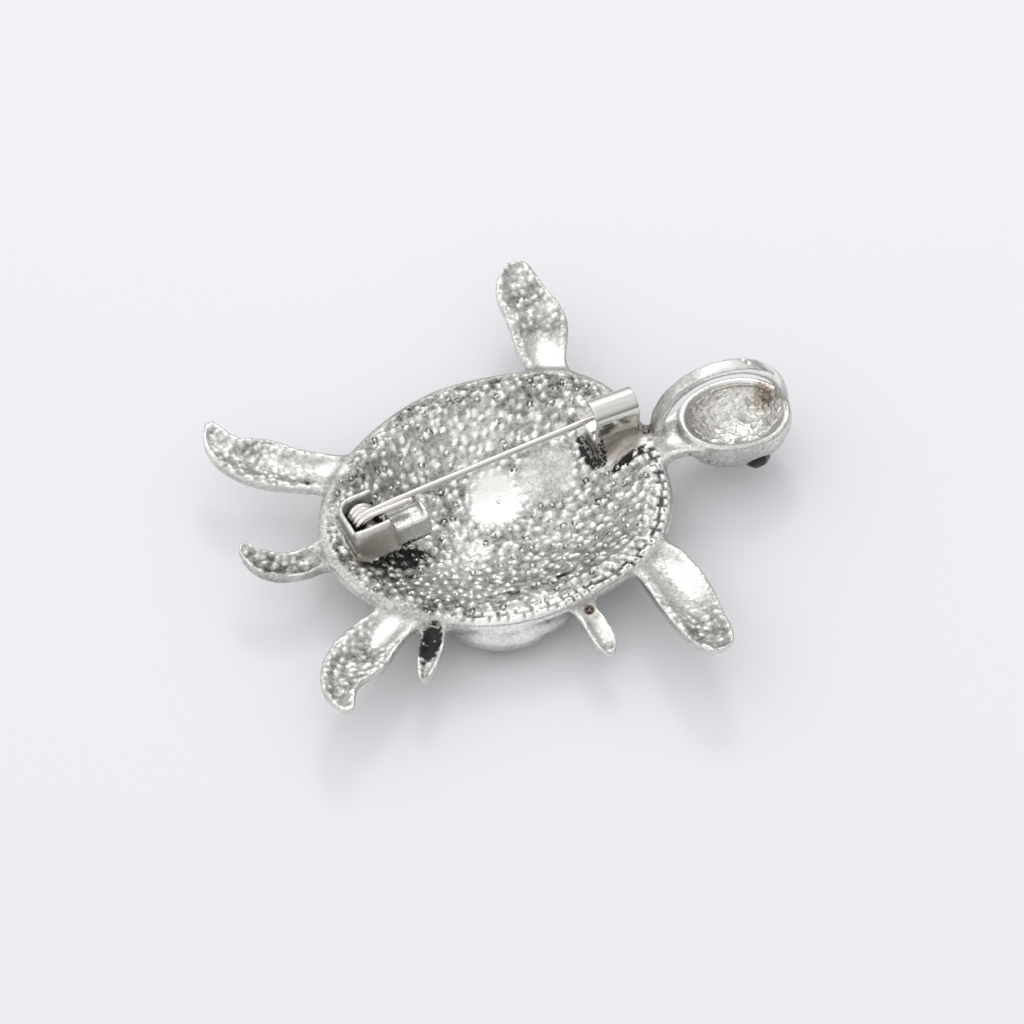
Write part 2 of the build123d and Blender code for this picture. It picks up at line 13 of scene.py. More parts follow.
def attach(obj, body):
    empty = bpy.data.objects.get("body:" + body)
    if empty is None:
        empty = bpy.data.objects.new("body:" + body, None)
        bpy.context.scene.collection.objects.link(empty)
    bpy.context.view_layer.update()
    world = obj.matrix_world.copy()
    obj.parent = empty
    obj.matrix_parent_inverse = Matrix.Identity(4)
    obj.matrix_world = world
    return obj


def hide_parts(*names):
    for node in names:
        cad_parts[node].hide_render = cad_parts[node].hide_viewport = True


bl_info = {
    "name": "Turtle brooch",
    "version": (1, 0, 0),
    "blender": (4, 5, 0),
    "location": "3D View > Sidebar > Brooch",
    "description": "Dresses the packed turtle brooch in cast silver, drawn wire and cut glass",
    "category": "Object",
}

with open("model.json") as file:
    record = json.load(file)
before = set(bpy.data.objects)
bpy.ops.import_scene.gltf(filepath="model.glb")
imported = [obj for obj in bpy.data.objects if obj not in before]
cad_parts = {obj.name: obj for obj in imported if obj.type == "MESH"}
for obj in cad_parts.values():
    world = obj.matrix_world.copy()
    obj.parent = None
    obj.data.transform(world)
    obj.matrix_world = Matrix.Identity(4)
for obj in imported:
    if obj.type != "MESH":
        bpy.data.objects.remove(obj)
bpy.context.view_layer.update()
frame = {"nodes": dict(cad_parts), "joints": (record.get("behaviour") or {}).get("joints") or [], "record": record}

# Meshes are worked out in millimetres and are brought to metres when they are done
MM = 0.001

# The hinge's frame: X along the pin, Y along the rivet to the far side, Z away from the dish
STEM = next(mount for mount in frame["record"]["mounts"] if mount["name"] == "pin_stem")
JOINT = frame["joints"][0]
HINGE_AT = Vector(JOINT["pos_m"]) / MM
HINGE_X = Vector(STEM["axis"]).normalized()
HINGE_Y = (-Vector(JOINT["axis"])).normalized()
HINGE_Z = HINGE_X.cross(HINGE_Y).normalized()
STEM_AT = Vector(STEM["pos_m"]) / MM - HINGE_AT
STEM_BEND = STEM_AT.dot(HINGE_X) - STEM["dims"]["length_mm"] / 2
STEM_ACROSS = STEM_AT.dot(HINGE_Y)
WIRE_RADIUS = STEM["dims"]["r_mm"]
COIL_RADIUS = STEM_AT.dot(HINGE_Z)
# Room between the hinge's ears, painted near black as the shade that falls inside it: lows and highs in the
# hinge's frame
SHADED_HINGE_ROOM = ((-1.9, -2.3, -2.5), (2.2, 1.95, 0.75))
# Middle and half size of the hinge along the pin and the rivet, in that frame
HINGE_MIDDLE = (1.6, -0.4)
HINGE_REACH = (4.6, 3.2)

# How finely the pin's wire is drawn, and how thin its ends are as shares of its radius
COIL_STEPS = 36
COIL_OVERRUN_STEPS = 8
LEG_POINTS = 9
SHANK_POINTS = 28
TAPER_POINTS = 16
LEG_END_SHARE = 0.75
TIP_SHARE = 0.16

# Shell of the casting, in mm, with its outline as shares of half length and half width
SHELL_CENTRE = (-4.012, 0.0)
SHELL_HALF_LENGTH = 18.75
SHELL_HALF_WIDTH = 15.65
RIM_Z = 6.3
TILED_WIDTH = 1.7
WALL_MIDDLE_DEPTH = 5.55
OutlinePoint = namedtuple("OutlinePoint", "along near far")
SHELL_OUTLINE = [
    OutlinePoint(1.0, 0.0, 0.0),
    OutlinePoint(0.965, 0.33, 0.46),
    OutlinePoint(0.845, 0.62, 0.74),
    OutlinePoint(0.62, 0.84, 0.90),
    OutlinePoint(0.35, 0.94, 0.975),
    OutlinePoint(0.05, 1.0, 1.0),
    OutlinePoint(-0.35, 0.91, 0.86),
    OutlinePoint(-0.72, 0.60, 0.55),
    OutlinePoint(-0.93, 0.0, 0.0),
]
# How deep the middle of the wall lies for each share of the way from the shell's centre to its rim
WallPoint = namedtuple("WallPoint", "share depth")
WALL_MIDDLE = [
    WallPoint(0.38, 1.0),
    WallPoint(0.46, 0.96),
    WallPoint(0.58, 0.84),
    WallPoint(0.80, 0.58),
    WallPoint(0.965, 0.30),
    WallPoint(1.0, 0.12),
]
# The rim is a tiled band only on the near side and at the neck, between these angles in radians
BAND_START = -2.1
BAND_END = 0.05

# Deep recess of the head, in mm from the shell's centre
RECESS_CENTRE = (27.55, 0.75)
RECESS_HALF_LENGTH = 4.35
RECESS_HALF_WIDTH = 3.15
# Floor of the far eye's seat in the row frame, in mm, and the way that the stone faces
EYE_SEAT_FLOOR = Vector((24.1, 3.06, 4.33))
EYE_OUTWARD = Vector((0.125, 0.708, -0.695)).normalized()
# Solder behind that stone: a disc whose radius grows from the recess toward the stone, in mm
SOLDER_THICKNESS = 0.4
SOLDER_RECESS_RADIUS = 1.7
SOLDER_STONE_RADIUS = 2.1

# Rolled catch, in mm from the shell's centre and rim plane
CATCH_START = 12.85
CATCH_LENGTH = 4.7
CATCH_RADIUS = 1.65
CATCH_SHEET = 0.45
CATCH_ACROSS = 3.85
CATCH_HEIGHT = 3.05
CATCH_LIP_ANGLE = 38.0
CATCH_TURN = 2.5
CATCH_FOOT_TOP = 0.35
CATCH_FOOT_REACH = 3.1
CATCH_BEND = 0.5
CATCH_SKIN = 0.03
CATCH_EDGE = 0.07
# Room round the catch that still counts as the catch
CATCH_ROOM_ALONG = 0.5
CATCH_REACH_ACROSS = 3.2

# Rounds of softening, of the cast's joins and for finding what stands proud, and how proud is full
JOIN_ROUNDS = 45
PROUD_ROUNDS = 12
PROUD_HEIGHT = 0.05

# Patches on the back, in mm from the shell's centre: a soft-edged oval each, turned by degrees
Patch = namedtuple("Patch", "along across half_along half_across turn strength")
# Soot round the fittings, and painted shade in the head's crease and under the bail's arch
SOOT_AND_SHADE_SPOTS = [
    Patch(-10.4, -1.6, 4.4, 2.0, 8.0, 1.15),
    Patch(-12.0, -4.2, 3.4, 1.0, -12.0, 0.7),
    Patch(-15.9, 0.6, 0.8, 2.8, 8.0, 0.7),
    Patch(12.5, 3.2, 0.9, 2.7, 4.0, 1.1),
    Patch(15.7, -0.1, 2.8, 0.65, 8.0, 1.2),
    Patch(13.0, 1.5, 0.9, 0.9, 0.0, 1.3),
    Patch(18.3, 2.2, 0.7, 0.9, 0.0, 1.0),
    Patch(3.7, -10.6, 1.3, 0.6, 0.0, 1.0),
    Patch(-1.4, -10.3, 4.2, 0.8, -8.0, 0.55),
    Patch(7.0, -9.8, 3.4, 0.8, 20.0, 0.55),
    Patch(-21.4, 2.2, 2.8, 1.3, -20.0, 0.6),
    Patch(-11.6, -13.8, 1.3, 2.8, -38.0, 1.5),
    # Soot and painted shade in the hollow under the bail's arch
    Patch(31.4, 2.3, 0.9, 1.1, 0.0, 0.45),
    # Painted shade in a crease of the head
    Patch(24.2, 1.2, 0.7, 2.0, 30.0, 0.5),
]
RUST_AND_SHADE_SPOTS = [
    Patch(4.5, -15.8, 0.6, 0.55, 0.0, 1.0),
    # Rust and painted shade in the hollow under the bail's arch
    Patch(31.4, 2.2, 1.0, 1.2, 0.0, 0.9),
    Patch(15.2, 2.0, 3.2, 1.5, 2.0, 0.5),
    Patch(-12.6, -1.2, 3.0, 0.9, 12.0, 0.4),
    Patch(19.8, 2.2, 0.9, 0.35, 0.0, 0.6),
]
SMOOTH_SPOTS = [
    Patch(2.3, 3.2, 2.9, 3.5, -20.0, 1.0),
    Patch(-2.3, -2.5, 1.3, 1.1, 0.0, 0.5),
    Patch(7.8, 3.4, 3.4, 3.2, 20.0, 0.85),
    Patch(13.0, 16.0, 2.8, 2.6, 0.0, 0.9),
    Patch(13.9, -16.5, 3.6, 5.2, 0.0, 0.85),
    Patch(-14.2, -10.6, 3.4, 2.0, 40.0, 0.9),
    Patch(-13.6, 10.4, 3.6, 2.2, -35.0, 0.85),
    Patch(5.0, -18.2, 1.6, 3.4, 0.0, 0.7),
    Patch(-18.4, 1.0, 1.2, 1.5, 0.0, 0.8),
    Patch(18.6, -0.4, 1.6, 1.8, 0.0, 0.8),
]
# Lighter, smoother patches: the middle one is polished; the rest are painted highlights and painted light, among
# them the head's recess, which lies in shade
POLISH_AND_HIGHLIGHT_SPOTS = [
    Patch(2.3, 3.2, 2.8, 3.4, -20.0, 1.0),
    Patch(-2.2, -2.2, 2.4, 1.6, 20.0, 0.6),
    Patch(13.2, 15.4, 1.6, 1.8, 0.0, 0.9),
    Patch(14.6, -16.8, 1.2, 3.4, 8.0, 0.9),
    Patch(-15.2, -11.0, 2.4, 0.9, 40.0, 0.8),
    Patch(-12.6, 9.9, 1.7, 1.0, -30.0, 0.9),
    Patch(5.2, -18.6, 0.9, 1.6, 0.0, 0.8),
    Patch(19.9, -0.8, 1.5, 1.1, 0.0, 1.0),
    Patch(31.6, -1.2, 0.6, 1.8, 0.0, 0.8),
    Patch(24.6, 1.0, 1.5, 0.5, 12.0, 0.8),
    Patch(27.8, 1.2, 4.4, 3.4, 0.0, 0.9),
    Patch(-3.0, -15.6, 7.5, 2.2, 0.0, 0.6),
    Patch(-4.6, -4.2, 2.6, 1.8, 0.0, 0.7),
    Patch(-0.5, 10.6, 7.5, 3.2, -6.0, 0.55),
]
DULL_SPOTS = [
    Patch(-22.6, 1.2, 5.6, 3.2, -10.0, 0.8),
    Patch(-11.6, -13.8, 2.0, 3.4, -38.0, 0.8),
    Patch(-13.2, -6.8, 4.6, 2.2, -35.0, 0.6),
]
# Casting pits: places in mm from the shell's centre and rim plane
Pit = namedtuple("Pit", "along across height radius depth")
PITS = [
    Pit(28.3, 1.35, 7.7, 0.3, 0.3),
    Pit(28.75, 0.75, 7.6, 0.24, 0.3),
    Pit(22.7, 1.0, 7.3, 0.3, 0.12),
    Pit(-15.4, 9.4, -0.4, 0.5, 0.35),
    Pit(4.5, -15.8, -1.2, 0.5, 0.35),
    Pit(20.4, -0.2, 2.4, 0.35, 0.15),
    Pit(24.0, 1.1, 7.1, 0.3, 0.1),
    Pit(21.0, -2.3, -0.1, 0.28, 0.3),
    Pit(22.8, -2.9, -1.1, 0.34, 0.3),
    Pit(23.6, -3.4, -1.2, 0.26, 0.3),
    Pit(25.2, -4.0, -1.3, 0.22, 0.2),
    Pit(2.5, 2.8, -4.8, 0.2, 0.15),
]

# Places where the finished casting is parted, so that each piece is under 200,000 triangles, in mm
HEAD_FROM = 15.6
TAIL_FROM = -21.6
SIDES_FROM = 15.75
SHELL_FRONT_FROM = -6.0


def length_property(name, description, mm):
    """Length that a user can change, kept in metres."""
    return FloatProperty(
        name=name, description=description, default=mm * MM, min=0.0, unit="LENGTH", precision=5
    )


class BroochSizes(bpy.types.PropertyGroup):
    """Sizes of the surface and of the pin's wire."""

    voxel: length_property("Mesh step", "Edge length of the casting's mesh", 0.15)
    pebble_pitch: length_property("Pebble pitch", "Spacing of the pebbles in the hollow", 0.98)
    pebble_height: length_property("Pebble height", "How far a pebble stands proud", 0.21)
    tile_pitch: length_property("Tile pitch", "Spacing of the square tiles on the rim", 1.0)
    tile_depth: length_property("Tile groove depth", "Depth of the grooves between tiles", 0.17)
    knob_pitch: length_property("Knob pitch", "Spacing of the soft knobs on flippers and tail", 0.76)
    knob_height: length_property("Knob height", "Height of those knobs", 0.1)
    crinkle_pitch: length_property("Crinkle pitch", "Spacing of the crinkles in the head's recess", 0.8)
    crinkle_height: length_property("Crinkle height", "Height of those crinkles", 0.2)
    scute_pitch: length_property("Scute pitch", "Spacing of the plain scutes on the front", 6.4)
    scute_depth: length_property("Scute groove depth", "Depth of the grooves between scutes", 0.2)
    grain_height: length_property("Grain height", "Height of the casting's grain", 0.05)
    coil_turns: IntProperty(name="Coil turns", description="Turns of the pin's coil", default=4, min=2)
    coil_pitch: length_property("Coil pitch", "Spacing of the coil's turns", 0.7)
    leg_length: length_property("Leg length", "Length of the coil's short second leg", 4.6)
    taper_length: length_property("Taper length", "Length of the pin's ground point", 4.2)
    seed: IntProperty(name="Seed", description="Where the patterns start", default=7)


def linear(code):
    """Linear colour of an sRGB hex value."""
    shares = [int(code[index : index + 2], 16) / 255 for index in (1, 3, 5)]
    return tuple(s / 12.92 if s <= 0.04045 else ((s + 0.055) / 1.055) ** 2.4 for s in shares)


def colour_property(name, description, code):
    """Colour that a user can change, given as sRGB hex."""
    return FloatVectorProperty(
        name=name, description=description, subtype="COLOR", size=3, min=0, max=1, default=linear(code)
    )


class BroochColours(bpy.types.PropertyGroup):
    """Colours of the finishes, in linear light."""

    crevice: colour_property("Crevice", "Oxide left in the hollows", "#54524d")
    silver: colour_property("Silver", "Plating that is only a little worn", "#bbbab5")
    rubbed: colour_property("Rubbed silver", "Plating rubbed bright on what stands proud", "#f6f5f1")
    # This near-black also paints shade in the hinge's room, the head's crease and under the bail's arch
    soot_and_shade: colour_property("Soot", "Burnt flux round the soldered fittings", "#191715")
    # This brown also paints shade in the hollow under the bail's arch
    rust_and_shade: colour_property("Rust", "Brown of solder residue and bare base metal", "#94775a")
    wire: colour_property("Wire", "Drawn and polished steel", "#f2efea")
    strip: colour_property("Strip", "Polished strip of the catch", "#f0eee8")
    glass: colour_property("Glass", "Black glass of the eyes", "#0b0b0d")
    floor: colour_property("Floor", "Pale table", "#eff0f2")


def add(tree, kind, links=None, **settings):
    """Adds a node with its settings, and links or sets its inputs by name or number."""
    made = tree.nodes.new(kind)
    for name, value in settings.items():
        setattr(made, name, value)
    for name, value in (links or {}).items():
        socket = made.inputs[name]
        if isinstance(value, bpy.types.NodeSocket):
            tree.links.new(value, socket)
        else:
            socket.default_value = value
    return made


def maths(tree, operation, *operands):
    """Result of one operation on sockets and numbers."""
    return add(tree, "ShaderNodeMath", dict(enumerate(operands)), operation=operation).outputs[0]


def weighted_sum(tree, start, terms):
    """Sum of a start and of (value, weight) pairs."""
    total = start
    for value, weight in terms:
        total = maths(tree, "MULTIPLY_ADD", value, weight, total)
    return total


def rise(tree, value, low, high, start=0.0, end=1.0):
    """Smooth change from start to end while a value goes from low to high."""
    links = {"Value": value, "From Min": low, "From Max": high, "To Min": start, "To Max": end}
    return add(tree, "ShaderNodeMapRange", links, interpolation_type="SMOOTHSTEP").outputs[0]


def shade(name):
    """New material, its tree and its surface shader."""
    material = bpy.data.materials.new(name)
    material.use_nodes = True
    tree = material.node_tree
    return material, tree, tree.nodes["Principled BSDF"]


def rgba(colour):
    """Colour with full cover."""
    return (*colour, 1.0)


def finish_mesh(name, mesh, material, body):
    """Object at the origin that rides on a body and takes its finish from a slot."""
    piece = bpy.data.objects.new(name, mesh)
    bpy.context.scene.collection.objects.link(piece)
    piece.data.materials.clear()
    piece.data.materials.append(material)
    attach(piece, body)
    return piece


def evaluated_copy(source, name):
    """Plain mesh of an object with its modifiers applied."""
    graph = bpy.context.evaluated_depsgraph_get()
    mesh = bpy.data.meshes.new_from_object(source.evaluated_get(graph), depsgraph=graph)
    mesh.name = name
    return mesh


def object_mm(tree, scale=(1.0, 1.0, 1.0)):
    """Object coordinates in millimetres, stretched by a scale for each axis."""
    where = add(tree, "ShaderNodeTexCoord").outputs["Object"]
    links = {"Vector": where, "Scale": tuple(share / MM for share in scale)}
    return add(tree, "ShaderNodeMapping", links).outputs[0]


def mixed(tree, factor, first, second):
    """Colour between two colours."""
    links = {"Factor": factor, "A": first, "B": second}
    return add(tree, "ShaderNodeMix", links, data_type="RGBA").outputs["Result"]


def cast_silver(colours):
    """Silver plating on cast white metal, oxidised and rubbed back.

    The eye gets dark crevices, light grey flanks and bright tops that glint, with painted highlights on listed
    patches and painted shade in a few hollows.
    """
    material, tree, surface = shade("silver_plated_casting_oxidised_rubbed_painted_light")

    def layer(name):
        return add(tree, "ShaderNodeAttribute", attribute_name=name).outputs["Fac"]

    where = object_mm(tree)
    # Wear goes in drifts of about 3 mm, and the grain of the mould is near 0.2 mm
    drift = add(tree, "ShaderNodeTexNoise", {"Vector": where, "Scale": 0.35, "Detail": 4.0}).outputs["Fac"]
    speck = add(
        tree, "ShaderNodeTexNoise", {"Vector": where, "Scale": 3.2, "Detail": 4.0, "Roughness": 0.6}
    ).outputs["Fac"]
    relief = layer("relief")
    proud = layer("proud")
    bright = layer("bright")
    # Oxide in the hollows, wear on what stands proud, and painted highlight on the listed patches
    worn = weighted_sum(
        tree, -0.1, [(relief, 0.68), (proud, 0.12), (drift, 0.55), (speck, 0.75), (bright, 0.35)]
    )
    ramp = add(tree, "ShaderNodeValToRGB", {"Fac": worn})
    ramp.color_ramp.elements[0].position = 0.05
    ramp.color_ramp.elements[0].color = rgba(colours.crevice)
    ramp.color_ramp.elements[1].position = 0.85
    ramp.color_ramp.elements[1].color = rgba(colours.rubbed)
    ramp.color_ramp.elements.new(0.42).color = rgba(colours.silver)

    # Soot and painted shade stay in what lies low and are rubbed off the tops
    soot_and_shade = weighted_sum(tree, -2.1, [(layer("soot_and_shade"), 1.1), (relief, -1.4), (proud, -0.3), (speck, 3.0)])
    soot_and_shade = rise(tree, soot_and_shade, 0.25, 0.85)
    # Rust, and painted shade under the bail's arch, browns the colour in specks
    rust_and_shade = maths(tree, "MULTIPLY", layer("rust_and_shade"), rise(tree, speck, 0.3, 0.62))
    browned = mixed(tree, rust_and_shade, ramp.outputs[0], rgba(colours.rust_and_shade))
    tree.links.new(mixed(tree, soot_and_shade, browned, rgba(colours.soot_and_shade)), surface.inputs["Base Color"])

    tree.links.new(rise(tree, worn, 0.2, 0.95, 0.56, 0.18), surface.inputs["Roughness"])
    tree.links.new(rise(tree, soot_and_shade, 0.0, 1.0, 1.0, 0.3), surface.inputs["Metallic"])
    fine = add(
        tree, "ShaderNodeTexNoise", {"Vector": where, "Scale": 5.0, "Detail": 2.0, "Roughness": 0.5}
    ).outputs["Fac"]
    bump = add(tree, "ShaderNodeBump", {"Height": fine, "Strength": 0.3, "Distance": 0.1 * MM})
    tree.links.new(bump.outputs[0], surface.inputs["Normal"])
    return material


def polished_metal(name, colour, roughness, lines_mm):
    """Polished metal with faint draw lines, which blur its streaks of light along one direction."""
    material, tree, surface = shade(name)
    lines = add(
        tree, "ShaderNodeTexNoise", {"Vector": object_mm(tree, lines_mm), "Scale": 1.0, "Detail": 3.0}
    ).outputs["Fac"]
    tree.links.new(rise(tree, lines, 0.3, 0.7, roughness, roughness + 0.1), surface.inputs["Roughness"])
    darker = rgba([0.8 * share for share in colour])
    tree.links.new(mixed(tree, lines, darker, rgba(colour)), surface.inputs["Base Color"])
    surface.inputs["Metallic"].default_value = 1.0
    return material


def black_glass(colours):
    """Cut and polished black glass: deep black with sharp, small reflections."""
    material, tree, surface = shade("black_glass_cut_and_polished")
    cloud = add(tree, "ShaderNodeTexNoise", {"Vector": object_mm(tree), "Scale": 0.8}).outputs["Fac"]
    tree.links.new(rise(tree, cloud, 0.3, 0.7, 0.04, 0.1), surface.inputs["Roughness"])
    surface.inputs["Base Color"].default_value = rgba(colours.glass)
    surface.inputs["IOR"].default_value = 1.52
    return material


def outline_radius(angle):
    """Distance from the shell's centre to its outline, for angles in radians."""
    near = [(point.along, -point.near) for point in SHELL_OUTLINE]
    far = [(point.along, point.far) for point in reversed(SHELL_OUTLINE[1:-1])]
    corners = np.array(near + far) * (SHELL_HALF_LENGTH, SHELL_HALF_WIDTH)
    bearing = np.arctan2(corners[:, 1], corners[:, 0])
    order = np.argsort(bearing)
    reach = np.hypot(corners[:, 0], corners[:, 1])[order]
    return np.interp(angle, bearing[order], reach, period=2 * np.pi)


def soft_step(value, low, high):
    """0 below low, 1 above high and a smooth rise between."""
    share = np.clip((value - low) / (high - low), 0, 1)
    return share * share * (3 - 2 * share)


def patch_cover(patches, along, across):
    """How much each point is covered by soft-edged ovals."""
    cover = np.zeros(len(along))
    for patch in patches:
        turn = np.radians(patch.turn)
        off_along = along - patch.along
        off_across = across - patch.across
        u = (off_along * np.cos(turn) + off_across * np.sin(turn)) / patch.half_along
        v = (-off_along * np.sin(turn) + off_across * np.cos(turn)) / patch.half_across
        cover = np.maximum(cover, patch.strength * (1 - soft_step(np.hypot(u, v), 0.6, 1.2)))
    return cover


def inset_from_outline(points, cell=0.2, steps=14):
    """How far each point lies inside the outline that the casting shows from above, in mm."""
    low = points[:, :2].min(0) - 2 * cell
    index = ((points[:, :2] - low) / cell).astype(int)
    inside = np.zeros(index.max(0) + 4, bool)
    inside[index[:, 0], index[:, 1]] = True
    depth = np.zeros(inside.shape)
    for _ in range(steps):
        depth += inside * cell
        eaten = inside.copy()
        eaten[1:-1, 1:-1] = (
            inside[1:-1, 1:-1] & inside[:-2, 1:-1] & inside[2:, 1:-1] & inside[1:-1, :-2] & inside[1:-1, 2:]
        )
        inside = eaten
    return depth[index[:, 0], index[:, 1]]


def relaxed(points, edges, weight, rounds):
    """Points drawn toward the middle of their neighbours, as the edges of a casting round over."""
    points = points.copy()
    count = len(points)
    degree = np.bincount(edges.ravel(), minlength=count)
    for _ in range(rounds):
        for axis in range(3):
            column = points[:, axis]
            total = np.bincount(edges[:, 0], column[edges[:, 1]], count)
            total += np.bincount(edges[:, 1], column[edges[:, 0]], count)
            points[:, axis] = column + 0.5 * weight * (total / degree - column)
    return points


def mesh_values(collection, name, width, kind=float):
    """Values of a mesh's points or edges as rows."""
    values = np.empty(len(collection) * width, kind)
    collection.foreach_get(name, values)
    return values.reshape(-1, width)


def dress_surface(mesh):
    """Softens the casting's joins and stores on its points where each surface pattern lies."""
    points = mesh_values(mesh.vertices, "co", 3)
    edges = mesh_values(mesh.edges, "vertices", 2, int)
    along = points[:, 0] - SHELL_CENTRE[0]
    across = points[:, 1] - SHELL_CENTRE[1]
    height = points[:, 2] - RIM_Z
    angle = np.arctan2(across, along)
    reach = outline_radius(angle)
    share = np.hypot(along, across) / reach
    from_rim = reach - np.hypot(along, across)
    band = soft_step(angle, BAND_START - 0.1, BAND_START + 0.1)
    band = band * (1 - soft_step(angle, BAND_END - 0.1, BAND_END + 0.1))

    hinge_off = points - np.array(HINGE_AT)
    hinge_place = np.stack([hinge_off @ np.array(axis) for axis in (HINGE_X, HINGE_Y, HINGE_Z)], -1)
    hinge_y, hinge_z = hinge_place.T[1:]
    hinge = np.all(np.abs(hinge_place[:, :2] - HINGE_MIDDLE) < HINGE_REACH, axis=1)
    # Points in the room between the hinge's ears take painted shade
    low, high = SHADED_HINGE_ROOM
    in_shaded_room = np.all((hinge_place > low) & (hinge_place < high), axis=1)
    catch = np.abs(along - CATCH_START - CATCH_LENGTH / 2) < CATCH_LENGTH / 2 + CATCH_ROOM_ALONG
    catch = catch & (np.abs(across - CATCH_ACROSS) < CATCH_REACH_ACROSS)
    wall = [point.share for point in WALL_MIDDLE], [point.depth for point in WALL_MIDDLE]
    middle = -WALL_MIDDLE_DEPTH * np.interp(share, *wall)
    fitting = (hinge & (hinge_z > -2.2)) | (catch & (height > middle + 1.1))

    # The limbs flow into the shell, and on the far side the rim flows into the hollow
    root = soft_step(from_rim, -2.2, -0.8) * (1 - soft_step(from_rim, 0.4, 1.2))
    margin = (1 - band) * soft_step(from_rim, 0.0, 0.8) * (1 - soft_step(from_rim, 4.0, 5.5)) * (share < 1)
    bail = 0.4 * soft_step(height, 0.8, 1.4) * (along > SHELL_HALF_LENGTH)
    weight = np.maximum(np.maximum(root, margin) * (height < 1.0), bail)
    ear = 0.25 * (hinge_y < -1.9)
    solder = 0.9 * (1 - soft_step(height, 0.8, 1.4))
    weight = np.where(catch & (height > middle), solder, weight)
    weight = np.where(hinge & (height > middle + 0.8), ear, weight)
    points = relaxed(points, edges, weight, JOIN_ROUNDS)
    mesh.vertices.foreach_set("co", points.ravel())
    mesh.update()
    normals = mesh_values(mesh.vertices, "normal", 3)
    up = normals[:, 2]
    smoothed = relaxed(points, edges, np.ones(len(points)), PROUD_ROUNDS)
    proud = np.clip(np.sum((points - smoothed) * normals, axis=1) / PROUD_HEIGHT, -1, 1)

    in_shell = share < 1.0
    back = in_shell & (height > middle)
    plain = (1 - patch_cover(SMOOTH_SPOTS, along, across)) * ~fitting
    on_top = soft_step(up, 0.45, 0.75)
    inner = soft_step(from_rim, TILED_WIDTH - 0.2, TILED_WIDTH + 0.2)
    open_margin = soft_step(from_rim, 0.4, 1.3)
    tiles = (1 - inner) * soft_step(from_rim, 0.35, 0.55)
    limb = (~in_shell & (along < SHELL_HALF_LENGTH)) * on_top
    off_root = soft_step(-from_rim, 1.0, 1.8)
    off_edge = soft_step(inset_from_outline(points), 0.2, 0.7)
    recess = np.hypot(
        (along - RECESS_CENTRE[0]) / RECESS_HALF_LENGTH, (across - RECESS_CENTRE[1]) / RECESS_HALF_WIDTH
    )
    pits = np.zeros(len(points))
    pit_cover = np.zeros(len(points))
    for pit in PITS:
        off = np.stack([along - pit.along, across - pit.across, height - pit.height], -1)
        cover = 1 - soft_step(np.linalg.norm(off, axis=1), 0.4 * pit.radius, 1.2 * pit.radius)
        pits = np.maximum(pits, pit.depth * cover)
        pit_cover = np.maximum(pit_cover, cover)
    soot_and_shade = patch_cover(SOOT_AND_SHADE_SPOTS, along, across) * (back | ~in_shell) * (up > -0.2) * (height < 3)
    soot_and_shade = soot_and_shade * ~(fitting & hinge)
    edge = (1 - band) * soft_step(from_rim, -0.5, 0.3) * (1 - soft_step(from_rim, 2.5, 4.5))
    dull = np.maximum(edge, patch_cover(DULL_SPOTS, along, across))
    on_solder = catch & (height > middle + 0.6) & (height < 1.3)
    masks = {
        "dish": back * (band * inner + (1 - band) * open_margin) * plain,
        "tiles": back * band * tiles * soft_step(up, 0.5, 0.8) * ~fitting,
        "knobs": limb * off_root * off_edge * plain,
        "crinkle": (1 - soft_step(recess, 1.05, 1.3)) * (height < 0.8) * soft_step(up, -0.1, 0.2),
        "scute": (in_shell & ~back) * soft_step(-up, 0.05, 0.3),
        "grain": np.where(on_solder, 3.0, 1 - 0.6 * patch_cover(POLISH_AND_HIGHLIGHT_SPOTS, along, across)),
        # Soot, painted shade in the hinge's room, and darkened casting pits
        "soot_and_shade": np.maximum(np.maximum(soot_and_shade, 1.5 * in_shaded_room), pit_cover),
        "rust_and_shade": patch_cover(RUST_AND_SHADE_SPOTS, along, across) * (height > -2.5) * (height < 5),
        # Painted highlight on listed patches, less on the dull patches, the rim's edge and the limbs
        "bright": patch_cover(POLISH_AND_HIGHLIGHT_SPOTS, along, across) * (up > 0) - 0.45 * dull - 0.15 * limb,
        "proud": proud,
        "pits": pits,
    }
    for name, values in masks.items():
        layer = mesh.attributes.new(name, "FLOAT", "POINT")
        layer.data.foreach_set("value", values.astype(np.float32))
    girth = 0.5 * (SHELL_HALF_LENGTH + SHELL_HALF_WIDTH)
    place = np.stack([angle * girth, from_rim - 0.45, np.zeros(len(points))], -1)
    layer = mesh.attributes.new("rim_place", "FLOAT_VECTOR", "POINT")
    layer.data.foreach_set("vector", place.astype(np.float32).ravel())


